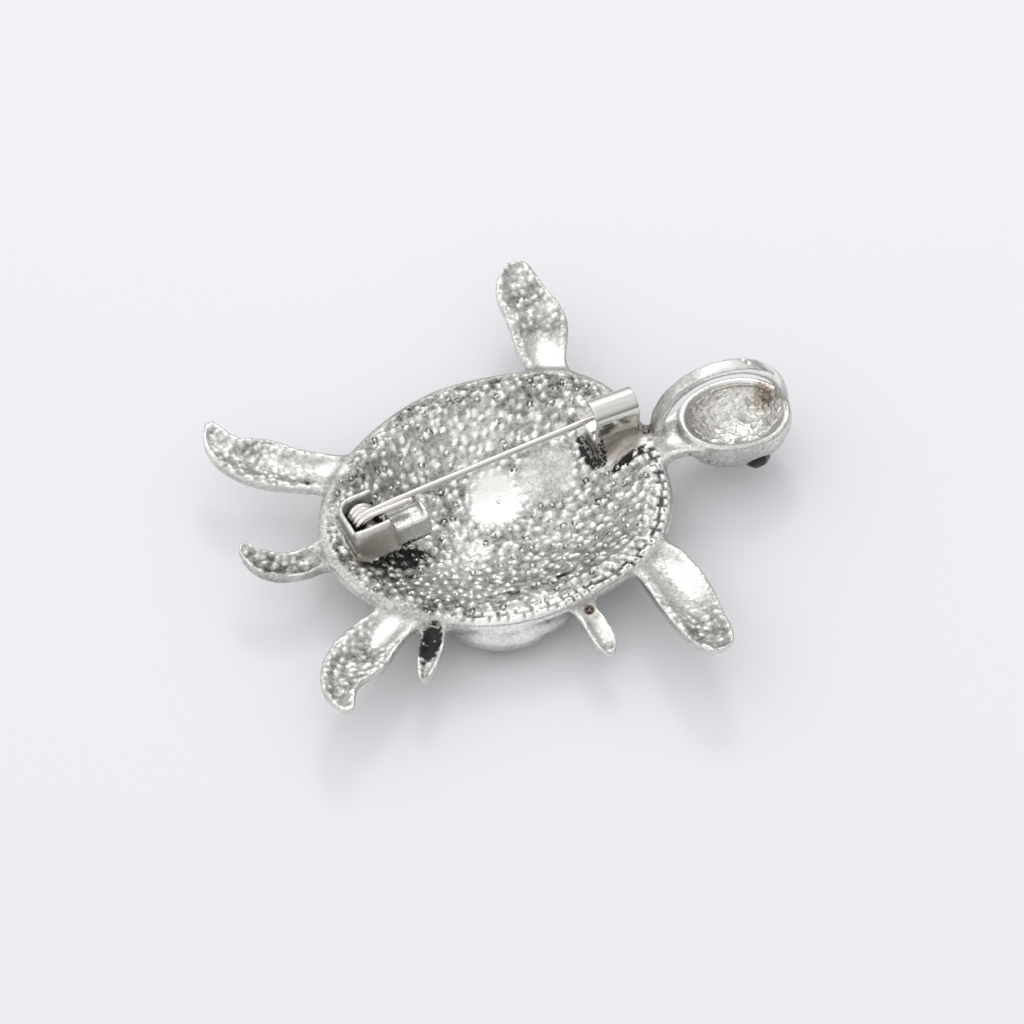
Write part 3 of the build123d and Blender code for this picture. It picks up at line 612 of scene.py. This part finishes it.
def relief_tree(sizes):
    """Geometry Nodes that raise the casting's patterns in mm where their masks lie."""
    tree = bpy.data.node_groups.new("cast_relief", "GeometryNodeTree")
    face = tree.interface
    face.new_socket("Geometry", in_out="INPUT", socket_type="NodeSocketGeometry")
    values = {
        "Pebble pitch": sizes.pebble_pitch, "Pebble height": sizes.pebble_height,
        "Tile pitch": sizes.tile_pitch, "Tile depth": sizes.tile_depth,
        "Knob pitch": sizes.knob_pitch, "Knob height": sizes.knob_height,
        "Crinkle pitch": sizes.crinkle_pitch, "Crinkle height": sizes.crinkle_height,
        "Scute pitch": sizes.scute_pitch, "Scute depth": sizes.scute_depth,
        "Grain height": sizes.grain_height, "Seed": sizes.seed * MM,
    }
    for name, value in values.items():
        socket = face.new_socket(name, in_out="INPUT", socket_type="NodeSocketFloat")
        socket.default_value = value / MM
    face.new_socket("Material", in_out="INPUT", socket_type="NodeSocketMaterial")
    face.new_socket("Geometry", in_out="OUTPUT", socket_type="NodeSocketGeometry")
    given = add(tree, "NodeGroupInput").outputs

    def layer(name, kind="FLOAT"):
        return add(tree, "GeometryNodeInputNamedAttribute", {"Name": name}, data_type=kind).outputs[0]

    def vectors(operation, *operands):
        links = dict(enumerate(operands))
        return add(tree, "ShaderNodeVectorMath", links, operation=operation).outputs[0]

    def cells(where, pitch, randomness, **settings):
        links = {"Vector": where, "Scale": maths(tree, "DIVIDE", 1.0, pitch), "Randomness": randomness}
        made = add(tree, "ShaderNodeTexVoronoi", links, voronoi_dimensions="2D", **settings)
        chances = add(tree, "ShaderNodeSeparateXYZ", {0: made.outputs["Color"]}).outputs
        return made.outputs["Distance"], chances

    seed = add(tree, "ShaderNodeCombineXYZ", {"X": given["Seed"], "Y": given["Seed"]}).outputs[0]
    place = vectors("ADD", add(tree, "GeometryNodeInputPosition").outputs[0], seed)
    wander = add(tree, "ShaderNodeTexNoise", {"Vector": place, "Scale": 0.9, "Detail": 1.0}).outputs["Color"]
    wandered = vectors("MULTIPLY_ADD", wander, (0.7, 0.7, 0.7), place)

    # Low hand-punched pebbles on hammered metal: one in five has a ring cut round its top
    reach, chance = cells(wandered, given["Pebble pitch"], 0.85)
    boldness = rise(tree, chance[1], 0.0, 1.0, 0.45, 1.0)
    dome = maths(tree, "MULTIPLY", rise(tree, reach, 0.06, 0.56, 1.2, 0.0), boldness)
    ring = maths(tree, "MULTIPLY", rise(tree, reach, 0.13, 0.26), rise(tree, reach, 0.26, 0.4, 1.1, 0.0))
    ring = maths(tree, "MULTIPLY", ring, rise(tree, chance[0], 0.74, 0.82))
    hammered = add(tree, "ShaderNodeTexNoise", {"Vector": place, "Scale": 1.5, "Detail": 2.0}).outputs["Fac"]
    pebble = weighted_sum(tree, dome, [(ring, -1.0), (hammered, 1.1)])

    # Tiles stand in rows along the rim; some have a dimple
    reach, chance = cells(layer("rim_place", "FLOAT_VECTOR"), given["Tile pitch"], 0.42, distance="CHEBYCHEV")
    dimple = maths(tree, "MULTIPLY", rise(tree, chance[1], 0.6, 0.7), rise(tree, reach, 0.1, 0.24, 0.7, 0.0))
    tile = maths(tree, "SUBTRACT", rise(tree, reach, 0.3, 0.46, 1.0, 0.0), dimple)

    reach, chance = cells(wandered, given["Knob pitch"], 0.85)
    boldness = rise(tree, chance[1], 0.0, 1.0, 0.3, 1.0)
    knob = maths(tree, "MULTIPLY", rise(tree, reach, 0.1, 0.6, 1.0, 0.0), boldness)
    swell = add(tree, "ShaderNodeTexNoise", {"Vector": place, "Scale": 0.45, "Detail": 1.0}).outputs["Fac"]

    turned = add(tree, "ShaderNodeVectorRotate", {"Vector": wandered, "Angle": 0.35}, rotation_type="Z_AXIS")
    foil = vectors("MULTIPLY", turned.outputs[0], (0.5, 1.0, 1.0))
    finer = maths(tree, "DIVIDE", 1.0, given["Crinkle pitch"])
    ridge = add(tree, "ShaderNodeTexNoise", {"Vector": foil, "Scale": finer, "Detail": 2.0}).outputs["Fac"]
    crinkle = rise(tree, maths(tree, "ABSOLUTE", maths(tree, "SUBTRACT", ridge, 0.5)), 0.0, 0.16, 1.0, 0.0)

    links = {"Vector": place, "Scale": maths(tree, "DIVIDE", 1.0, given["Scute pitch"]), "Randomness": 0.6}
    scute = add(tree, "ShaderNodeTexVoronoi", links, voronoi_dimensions="2D", feature="DISTANCE_TO_EDGE")
    groove = rise(tree, scute.outputs["Distance"], 0.0, 0.07, -1.0, 0.0)
    grain = add(
        tree, "ShaderNodeTexNoise", {"Vector": place, "Scale": 1.7, "Detail": 4.0, "Roughness": 0.6}
    ).outputs["Fac"]

    # Each pattern goes about its own middle, so that a masked-out place keeps its height
    patterns = [
        (maths(tree, "SUBTRACT", pebble, 0.9), layer("dish"), given["Pebble height"], 0.9),
        (maths(tree, "SUBTRACT", tile, 0.75), layer("tiles"), given["Tile depth"], 0.9),
        (maths(tree, "SUBTRACT", knob, 0.35), layer("knobs"), given["Knob height"], 0.7),
        (maths(tree, "SUBTRACT", swell, 0.5), layer("knobs"), 0.5, 0.7),
        (maths(tree, "SUBTRACT", crinkle, 0.5), layer("crinkle"), given["Crinkle height"], 0.55),
        (groove, layer("scute"), given["Scute depth"], 0.8),
        (maths(tree, "SUBTRACT", grain, 0.5), layer("grain"), given["Grain height"], 0.0),
    ]
    height = maths(tree, "MULTIPLY", layer("pits"), -1.0)
    relief = 0.0
    for pattern, mask, tall, darkening in patterns:
        shown = maths(tree, "MULTIPLY", pattern, mask)
        height = maths(tree, "MULTIPLY_ADD", shown, tall, height)
        relief = maths(tree, "MULTIPLY_ADD", shown, darkening, relief)
    normal = add(tree, "GeometryNodeInputNormal").outputs[0]
    shift = add(tree, "ShaderNodeVectorMath", {0: normal, "Scale": height}, operation="SCALE").outputs[0]
    moved = add(tree, "GeometryNodeSetPosition", {"Geometry": given["Geometry"], "Offset": shift})
    stored = add(
        tree, "GeometryNodeStoreNamedAttribute",
        {"Geometry": moved.outputs[0], "Name": "relief", "Value": relief}, data_type="FLOAT", domain="POINT"
    )
    whole = add(tree, "GeometryNodeRealizeInstances", {"Geometry": stored.outputs[0]})
    links = {"Geometry": whole.outputs[0], "Material": given["Material"]}
    painted = add(tree, "GeometryNodeSetMaterial", links)
    add(tree, "NodeGroupOutput", {"Geometry": painted.outputs[0]})
    return tree


def nodes_modifier(work, name, tree, material):
    """Geometry Nodes on an object, with the material of its result."""
    modifier = work.modifiers.new(name, "NODES")
    modifier.node_group = tree
    slots = {item.name: item.identifier for item in tree.interface.items_tree if item.in_out == "INPUT"}
    modifier[slots["Material"]] = material


def part_at(solid, point, direction):
    """Cuts a closed mesh by a plane into two closed meshes: what lies behind it, and ahead of it."""
    halves = []
    for clear_ahead in (True, False):
        half = solid.copy()
        bmesh.ops.bisect_plane(
            half,
            geom=half.verts[:] + half.edges[:] + half.faces[:],
            plane_co=point,
            plane_no=direction,
            clear_outer=clear_ahead,
            clear_inner=not clear_ahead,
        )
        open_edges = [edge for edge in half.edges if edge.is_boundary]
        caps = bmesh.ops.holes_fill(half, edges=open_edges, sides=0)["faces"]
        for edge in open_edges:
            edge.smooth = False
        for cap in caps:
            cap.smooth = False
        halves.append(half)
    solid.free()
    return halves


def casting_mesh(sizes, material):
    """Copy of the casting as one even mesh in mm, rounded like a cast, with its relief."""
    source = bmesh.new()
    source.from_mesh(frame["nodes"]["turtle_casting"].data)
    bmesh.ops.transform(source, matrix=Matrix.Scale(1 / MM, 4), verts=source.verts)
    bmesh.ops.remove_doubles(source, verts=source.verts, dist=0.0005)
    # The far stone's seat reaches the head's recess, so solder stands behind the stone
    behind = EYE_SEAT_FLOOR - EYE_OUTWARD * SOLDER_THICKNESS / 2
    place = Matrix.Translation(behind) @ EYE_OUTWARD.to_track_quat("Z", "Y").to_matrix().to_4x4()
    bmesh.ops.create_cone(
        source,
        cap_ends=True,
        segments=32,
        radius1=SOLDER_RECESS_RADIUS,
        radius2=SOLDER_STONE_RADIUS,
        depth=SOLDER_THICKNESS,
        matrix=place,
    )
    mesh = bpy.data.meshes.new("casting_source")
    source.to_mesh(mesh)
    source.free()
    work = bpy.data.objects.new("casting_work", mesh)
    bpy.context.scene.collection.objects.link(work)
    remesh = work.modifiers.new("even", "REMESH")
    remesh.mode = "VOXEL"
    remesh.voxel_size = sizes.voxel / MM
    remesh.use_smooth_shade = True
    relax = work.modifiers.new("round", "SMOOTH")
    relax.factor = 0.5
    relax.iterations = 4
    even = evaluated_copy(work, "casting_even")
    work.modifiers.clear()
    work.data = even
    dress_surface(even)
    nodes_modifier(work, "relief", relief_tree(sizes), material)
    cast = evaluated_copy(work, "casting_relief")
    bpy.data.objects.remove(work)
    return cast


class BROOCH_OT_casting(bpy.types.Operator):
    """Cast body of the turtle with its relief, in six pieces that meet face to face"""

    bl_idname = "brooch.casting"
    bl_label = "Casting"

    def execute(self, context):
        material = cast_silver(context.scene.brooch_colours)
        cast = casting_mesh(context.scene.brooch_sizes, material)
        solid = bmesh.new()
        solid.from_mesh(cast)
        for vertex in solid.verts:
            vertex.co.z = max(vertex.co.z, 0.0)
        bmesh.ops.transform(solid, matrix=Matrix.Scale(MM, 4), verts=solid.verts)
        cuts = {
            "casting_head": ((HEAD_FROM * MM, 0, 0), (1, 0, 0)),
            "casting_near_flippers": ((0, -SIDES_FROM * MM, 0), (0, -1, 0)),
            "casting_far_flippers": ((0, SIDES_FROM * MM, 0), (0, 1, 0)),
            "casting_tail_end": ((TAIL_FROM * MM, 0, 0), (-1, 0, 0)),
            "casting_shell_front": ((SHELL_FRONT_FROM * MM, 0, 0), (1, 0, 0)),
        }
        parts = {}
        for name, (point, direction) in cuts.items():
            solid, parts[name] = part_at(solid, point, direction)
        parts["casting_shell"] = solid
        for name, part in parts.items():
            mesh = bpy.data.meshes.new(name)
            part.to_mesh(mesh)
            part.free()
            finish_mesh(name, mesh, material, "casting")
        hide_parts("turtle_casting")
        return {"FINISHED"}


def catch_profile():
    """Closed outline of the bent strip in (across, height), in mm from the catch's own middle line."""
    radius = CATCH_RADIUS - CATCH_SHEET / 2
    half = CATCH_SHEET / 2 + CATCH_SKIN
    foot = CATCH_FOOT_TOP - CATCH_SHEET / 2 - CATCH_HEIGHT
    centre = [(CATCH_FOOT_REACH - CATCH_RADIUS, foot)]
    for angle in np.radians(np.linspace(270, 180, 7)):
        centre.append((CATCH_BEND * (1 + np.cos(angle)) - radius, CATCH_BEND * (1 + np.sin(angle)) + foot))
    for angle in np.radians(np.linspace(-90, CATCH_LIP_ANGLE, 33)):
        centre.append((radius * np.sin(angle), radius * np.cos(angle)))
    line = np.array(centre)
    run = np.gradient(line, axis=0)
    run /= np.linalg.norm(run, axis=1)[:, None]
    side = np.stack([-run[:, 1], run[:, 0]], -1)
    return np.concatenate([line + side * half, (line - side * half)[::-1]])


class BROOCH_OT_catch(bpy.types.Operator):
    """Polished strip of the rolled catch, over the casting's plain one"""

    bl_idname = "brooch.catch"
    bl_label = "Catch strip"

    def execute(self, context):
        profile = catch_profile()
        solid = bmesh.new()
        half = CATCH_LENGTH / 2 + CATCH_SKIN
        rings = [
            [solid.verts.new((x, y, z)) for y, z in profile] for x in np.linspace(-half, half, 13)
        ]
        count = len(profile)
        for left, right in zip(rings, rings[1:]):
            for index in range(count):
                after = (index + 1) % count
                solid.faces.new((left[index], right[index], right[after], left[after]))
        solid.faces.new(rings[0])
        solid.faces.new(rings[-1][::-1])
        place = (
            Matrix.Scale(MM, 4)
            @ Matrix.Translation((
                SHELL_CENTRE[0] + CATCH_START + CATCH_LENGTH / 2,
                SHELL_CENTRE[1] + CATCH_ACROSS,
                RIM_Z + CATCH_HEIGHT,
            ))
            @ Matrix.Rotation(np.radians(CATCH_TURN), 4, "Z")
        )
        bmesh.ops.transform(solid, matrix=place, verts=solid.verts)
        bmesh.ops.recalc_face_normals(solid, faces=solid.faces)
        mesh = bpy.data.meshes.new("catch_strip")
        solid.to_mesh(mesh)
        solid.free()
        mesh.shade_smooth()
        material = polished_metal(
            "nickel_silver_strip_polished", context.scene.brooch_colours.strip, 0.12, (0.15, 2.6, 2.6)
        )
        piece = finish_mesh("catch_strip", mesh, material, "casting")
        edge = piece.modifiers.new("rounded edges", "BEVEL")
        edge.width = CATCH_EDGE * MM
        edge.segments = 3
        edge.limit_method = "ANGLE"
        edge.angle_limit = np.radians(50)
        piece.modifiers.new("even light", "WEIGHTED_NORMAL")
        return {"FINISHED"}


def hinge_point(x, y, z):
    """Point of the row frame, in mm, for a place in the hinge's frame."""
    return HINGE_AT + HINGE_X * x + HINGE_Y * y + HINGE_Z * z


def wire_tree(sides=16):
    """Geometry Nodes that draw round wire along a path, thinned by each point's own radius."""
    tree = bpy.data.node_groups.new("wire_along_path", "GeometryNodeTree")
    face = tree.interface
    face.new_socket("Geometry", in_out="INPUT", socket_type="NodeSocketGeometry")
    thick = face.new_socket("Wire radius", in_out="INPUT", socket_type="NodeSocketFloat")
    thick.default_value = WIRE_RADIUS * MM
    face.new_socket("Material", in_out="INPUT", socket_type="NodeSocketMaterial")
    face.new_socket("Geometry", in_out="OUTPUT", socket_type="NodeSocketGeometry")
    given = add(tree, "NodeGroupInput").outputs
    links = {"Resolution": sides, "Radius": given["Wire radius"]}
    ring = add(tree, "GeometryNodeCurvePrimitiveCircle", links)
    thinning = add(tree, "GeometryNodeInputRadius").outputs[0]
    links = {"Curve": given["Geometry"], "Profile Curve": ring.outputs[0], "Scale": thinning}
    tube = add(tree, "GeometryNodeCurveToMesh", {**links, "Fill Caps": True})
    smooth = add(tree, "GeometryNodeSetShadeSmooth", {"Geometry": tube.outputs[0]})
    whole = add(tree, "GeometryNodeRealizeInstances", {"Geometry": smooth.outputs[0]})
    links = {"Geometry": whole.outputs[0], "Material": given["Material"]}
    painted = add(tree, "GeometryNodeSetMaterial", links)
    add(tree, "NodeGroupOutput", {"Geometry": painted.outputs[0]})
    return tree


def wire_mesh(name, runs, material):
    """Mesh of round wire along runs of (point in mm, share of the wire's radius)."""
    curve = bpy.data.curves.new(name + "_path", "CURVE")
    curve.dimensions = "3D"
    for run in runs:
        spline = curve.splines.new("POLY")
        spline.points.add(len(run) - 1)
        for slot, (point, thickness) in zip(spline.points, run):
            slot.co = (*(point * MM), 1.0)
            slot.radius = thickness
    path = bpy.data.objects.new(name + "_path", curve)
    bpy.context.scene.collection.objects.link(path)
    nodes_modifier(path, "wire", wire_tree(), material)
    mesh = evaluated_copy(path, name)
    bpy.data.objects.remove(path)
    return mesh


class BROOCH_OT_pin(bpy.types.Operator):
    """Sprung pin: its helix, short second leg and straight stem with a ground point"""

    bl_idname = "brooch.pin"
    bl_label = "Pin"

    def execute(self, context):
        sizes = context.scene.brooch_sizes
        pitch = sizes.coil_pitch / MM
        leg_length = sizes.leg_length / MM
        taper = sizes.taper_length / MM
        node = frame["nodes"]["pin_wire"].data
        tip_at = max((vertex.co / MM - HINGE_AT).dot(HINGE_X) for vertex in node.vertices)
        half = (sizes.coil_turns - 1) / 2 * pitch
        leg = [
            (hinge_point(place, -half, COIL_RADIUS), 1.0 if place < leg_length else LEG_END_SHARE)
            for place in np.linspace(leg_length, 0.2, LEG_POINTS)
        ]
        helix = []
        for step in range((sizes.coil_turns - 1) * COIL_STEPS + COIL_OVERRUN_STEPS):
            angle = 2 * np.pi * step / COIL_STEPS
            across = min(-half + pitch * step / COIL_STEPS, half)
            point = hinge_point(-COIL_RADIUS * np.sin(angle), across, COIL_RADIUS * np.cos(angle))
            helix.append((point, 1.0))
        # The stem leaves the second turn along the helix's slope and comes straight within its bend
        set_over = STEM_ACROSS + half - pitch
        bend = (STEM_BEND**2 + set_over**2) / (2 * set_over)
        stem = []
        shank = np.linspace(0, tip_at - taper, SHANK_POINTS)
        ground_point = np.linspace(tip_at - taper, tip_at, TAPER_POINTS)[1:]
        for place in np.concatenate([shank, ground_point]):
            short = max(STEM_BEND - place, 0.0)
            across = STEM_ACROSS - bend + (bend**2 - short**2) ** 0.5
            thickness = min(1.0, TIP_SHARE + (1 - TIP_SHARE) * (tip_at - place) / taper)
            stem.append((hinge_point(place, across, COIL_RADIUS), thickness))
        material = polished_metal(
            "steel_wire_drawn_and_polished", context.scene.brooch_colours.wire, 0.16, (0.12, 3.0, 3.0)
        )
        mesh = wire_mesh("pin_spring_wire", [leg + helix, stem], material)
        piece = finish_mesh("pin_spring_wire", mesh, material, "pin")
        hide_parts("pin_wire")
        return {"FINISHED"}


class BROOCH_OT_small_parts(bpy.types.Operator):
    """Finishes of the rivet and of the two eye stones"""

    bl_idname = "brooch.small_parts"
    bl_label = "Rivet and stones"

    def execute(self, context):
        colours = context.scene.brooch_colours
        stone = black_glass(colours)
        finishes = {
            "hinge_rivet": polished_metal("steel_rivet_drawn", colours.wire, 0.25, (0.9, 0.9, 0.9)),
            "eye_stone_near": stone,
            "eye_stone_far": stone,
        }
        for node, material in finishes.items():
            mesh = frame["nodes"][node].data
            mesh.materials.clear()
            mesh.materials.append(material)
        return {"FINISHED"}


# Camera of the photograph: a long lens, level, turned to the turtle's midline and looking down
CAMERA_HEADING = 22.5
CAMERA_ELEVATION = 51.5
CAMERA_DISTANCE = 500.0
CAMERA_LENS = 175.78
CAMERA_SENSOR = 36.0
# The camera aims at a point this far to the right of and below its anchor on the shell, in mm
CAMERA_ANCHOR = (-2.262, -0.65, 6.3)
CAMERA_RIGHT_BY = 0.7
CAMERA_DOWN_BY = 1.2
# Key light, with its place and size in mm and its power in watts, and the table's half width in metres
KEY_PLACE = (95, 230, 313)
KEY_SIZE = 90
KEY_POWER = 0.16
TABLE_HALF_WIDTH = 2.0


def camera_directions():
    """Right, up and forward of the camera."""
    heading = np.radians(-CAMERA_HEADING)
    elevation = np.radians(CAMERA_ELEVATION)
    right = Vector((np.cos(heading), np.sin(heading), 0))
    ahead = Vector((-right.y, right.x, 0))
    forward = ahead * np.cos(elevation) - Vector((0, 0, np.sin(elevation)))
    return right, right.cross(forward), forward


def key_light():
    """Soft square light that faces the brooch."""
    data = bpy.data.lights.new("key", "AREA")
    data.size = KEY_SIZE * MM
    data.energy = KEY_POWER
    lamp = bpy.data.objects.new("key", data)
    bpy.context.scene.collection.objects.link(lamp)
    lamp.location = Vector(KEY_PLACE) * MM
    lamp.rotation_euler = (-Vector(KEY_PLACE)).to_track_quat("-Z", "Y").to_euler()


def studio_world():
    """White tent round the table: dim at the horizon, bright overhead and brighter on the left."""
    world = bpy.data.worlds.new("studio")
    world.use_nodes = True
    tree = world.node_tree
    direction = add(tree, "ShaderNodeTexCoord").outputs["Generated"]
    high = add(tree, "ShaderNodeSeparateXYZ", {0: direction}).outputs["Z"]
    left = (-camera_directions()[0]).to_tuple()
    sideways = add(tree, "ShaderNodeVectorMath", {0: direction, 1: left}, operation="DOT_PRODUCT")
    share = maths(tree, "MULTIPLY_ADD", sideways.outputs["Value"], 0.4, 1.0)
    background = tree.nodes["Background"]
    background.inputs["Color"].default_value = rgba(linear("#fdfdff"))
    strength = maths(tree, "MULTIPLY", rise(tree, high, 0.0, 0.6, 0.25, 1.02), share)
    tree.links.new(strength, background.inputs["Strength"])
    return world


class BROOCH_OT_stage(bpy.types.Operator):
    """Pale table, soft studio light and the photograph's camera"""

    bl_idname = "brooch.stage"
    bl_label = "Stage"

    def execute(self, context):
        scene = context.scene
        solid = bmesh.new()
        bmesh.ops.create_grid(solid, x_segments=1, y_segments=1, size=TABLE_HALF_WIDTH)
        mesh = bpy.data.meshes.new("table_top")
        solid.to_mesh(mesh)
        solid.free()
        floor = bpy.data.objects.new("table_top", mesh)
        scene.collection.objects.link(floor)
        material, _, surface = shade("painted_board_matt")
        surface.inputs["Base Color"].default_value = rgba(scene.brooch_colours.floor)
        surface.inputs["Roughness"].default_value = 0.75
        mesh.materials.append(material)

        scene.world = studio_world()
        key_light()

        right, up, forward = camera_directions()
        data = bpy.data.cameras.new("camera")
        data.lens = CAMERA_LENS
        data.sensor_width = CAMERA_SENSOR
        data.clip_start = 10 * MM
        data.clip_end = 10.0
        camera = bpy.data.objects.new("camera", data)
        scene.collection.objects.link(camera)
        aim = Vector(CAMERA_ANCHOR) + right * CAMERA_RIGHT_BY - up * CAMERA_DOWN_BY
        camera.location = (aim - forward * CAMERA_DISTANCE) * MM
        camera.rotation_mode = "QUATERNION"
        camera.rotation_quaternion = forward.to_track_quat("-Z", "Y")
        scene.camera = camera
        scene.view_settings.view_transform = "Standard"
        return {"FINISHED"}


class BROOCH_PT_panel(bpy.types.Panel):
    """Lists the pieces of the brooch"""

    bl_idname = "BROOCH_PT_panel"
    bl_label = "Brooch"
    bl_space_type = "VIEW_3D"
    bl_region_type = "UI"
    bl_category = "Brooch"

    def draw(self, context):
        for operator in OPERATORS:
            self.layout.operator(operator.bl_idname)


OPERATORS = [
    BROOCH_OT_casting, BROOCH_OT_catch, BROOCH_OT_pin, BROOCH_OT_small_parts, BROOCH_OT_stage,
]
CLASSES = [BroochSizes, BroochColours, *OPERATORS, BROOCH_PT_panel]


def register():
    """Registers the classes and their settings."""
    for item in CLASSES:
        bpy.utils.register_class(item)
    bpy.types.Scene.brooch_sizes = PointerProperty(type=BroochSizes)
    bpy.types.Scene.brooch_colours = PointerProperty(type=BroochColours)


def unregister():
    """Removes what register added."""
    del bpy.types.Scene.brooch_colours
    del bpy.types.Scene.brooch_sizes
    for item in reversed(CLASSES):
        bpy.utils.unregister_class(item)


def main():
    """Builds every piece and the stage, and keeps the parts that it hides."""
    register()
    bpy.ops.brooch.casting()
    bpy.ops.brooch.catch()
    bpy.ops.brooch.pin()
    bpy.ops.brooch.small_parts()
    bpy.ops.brooch.stage()


if __name__ == "__main__":
    main()
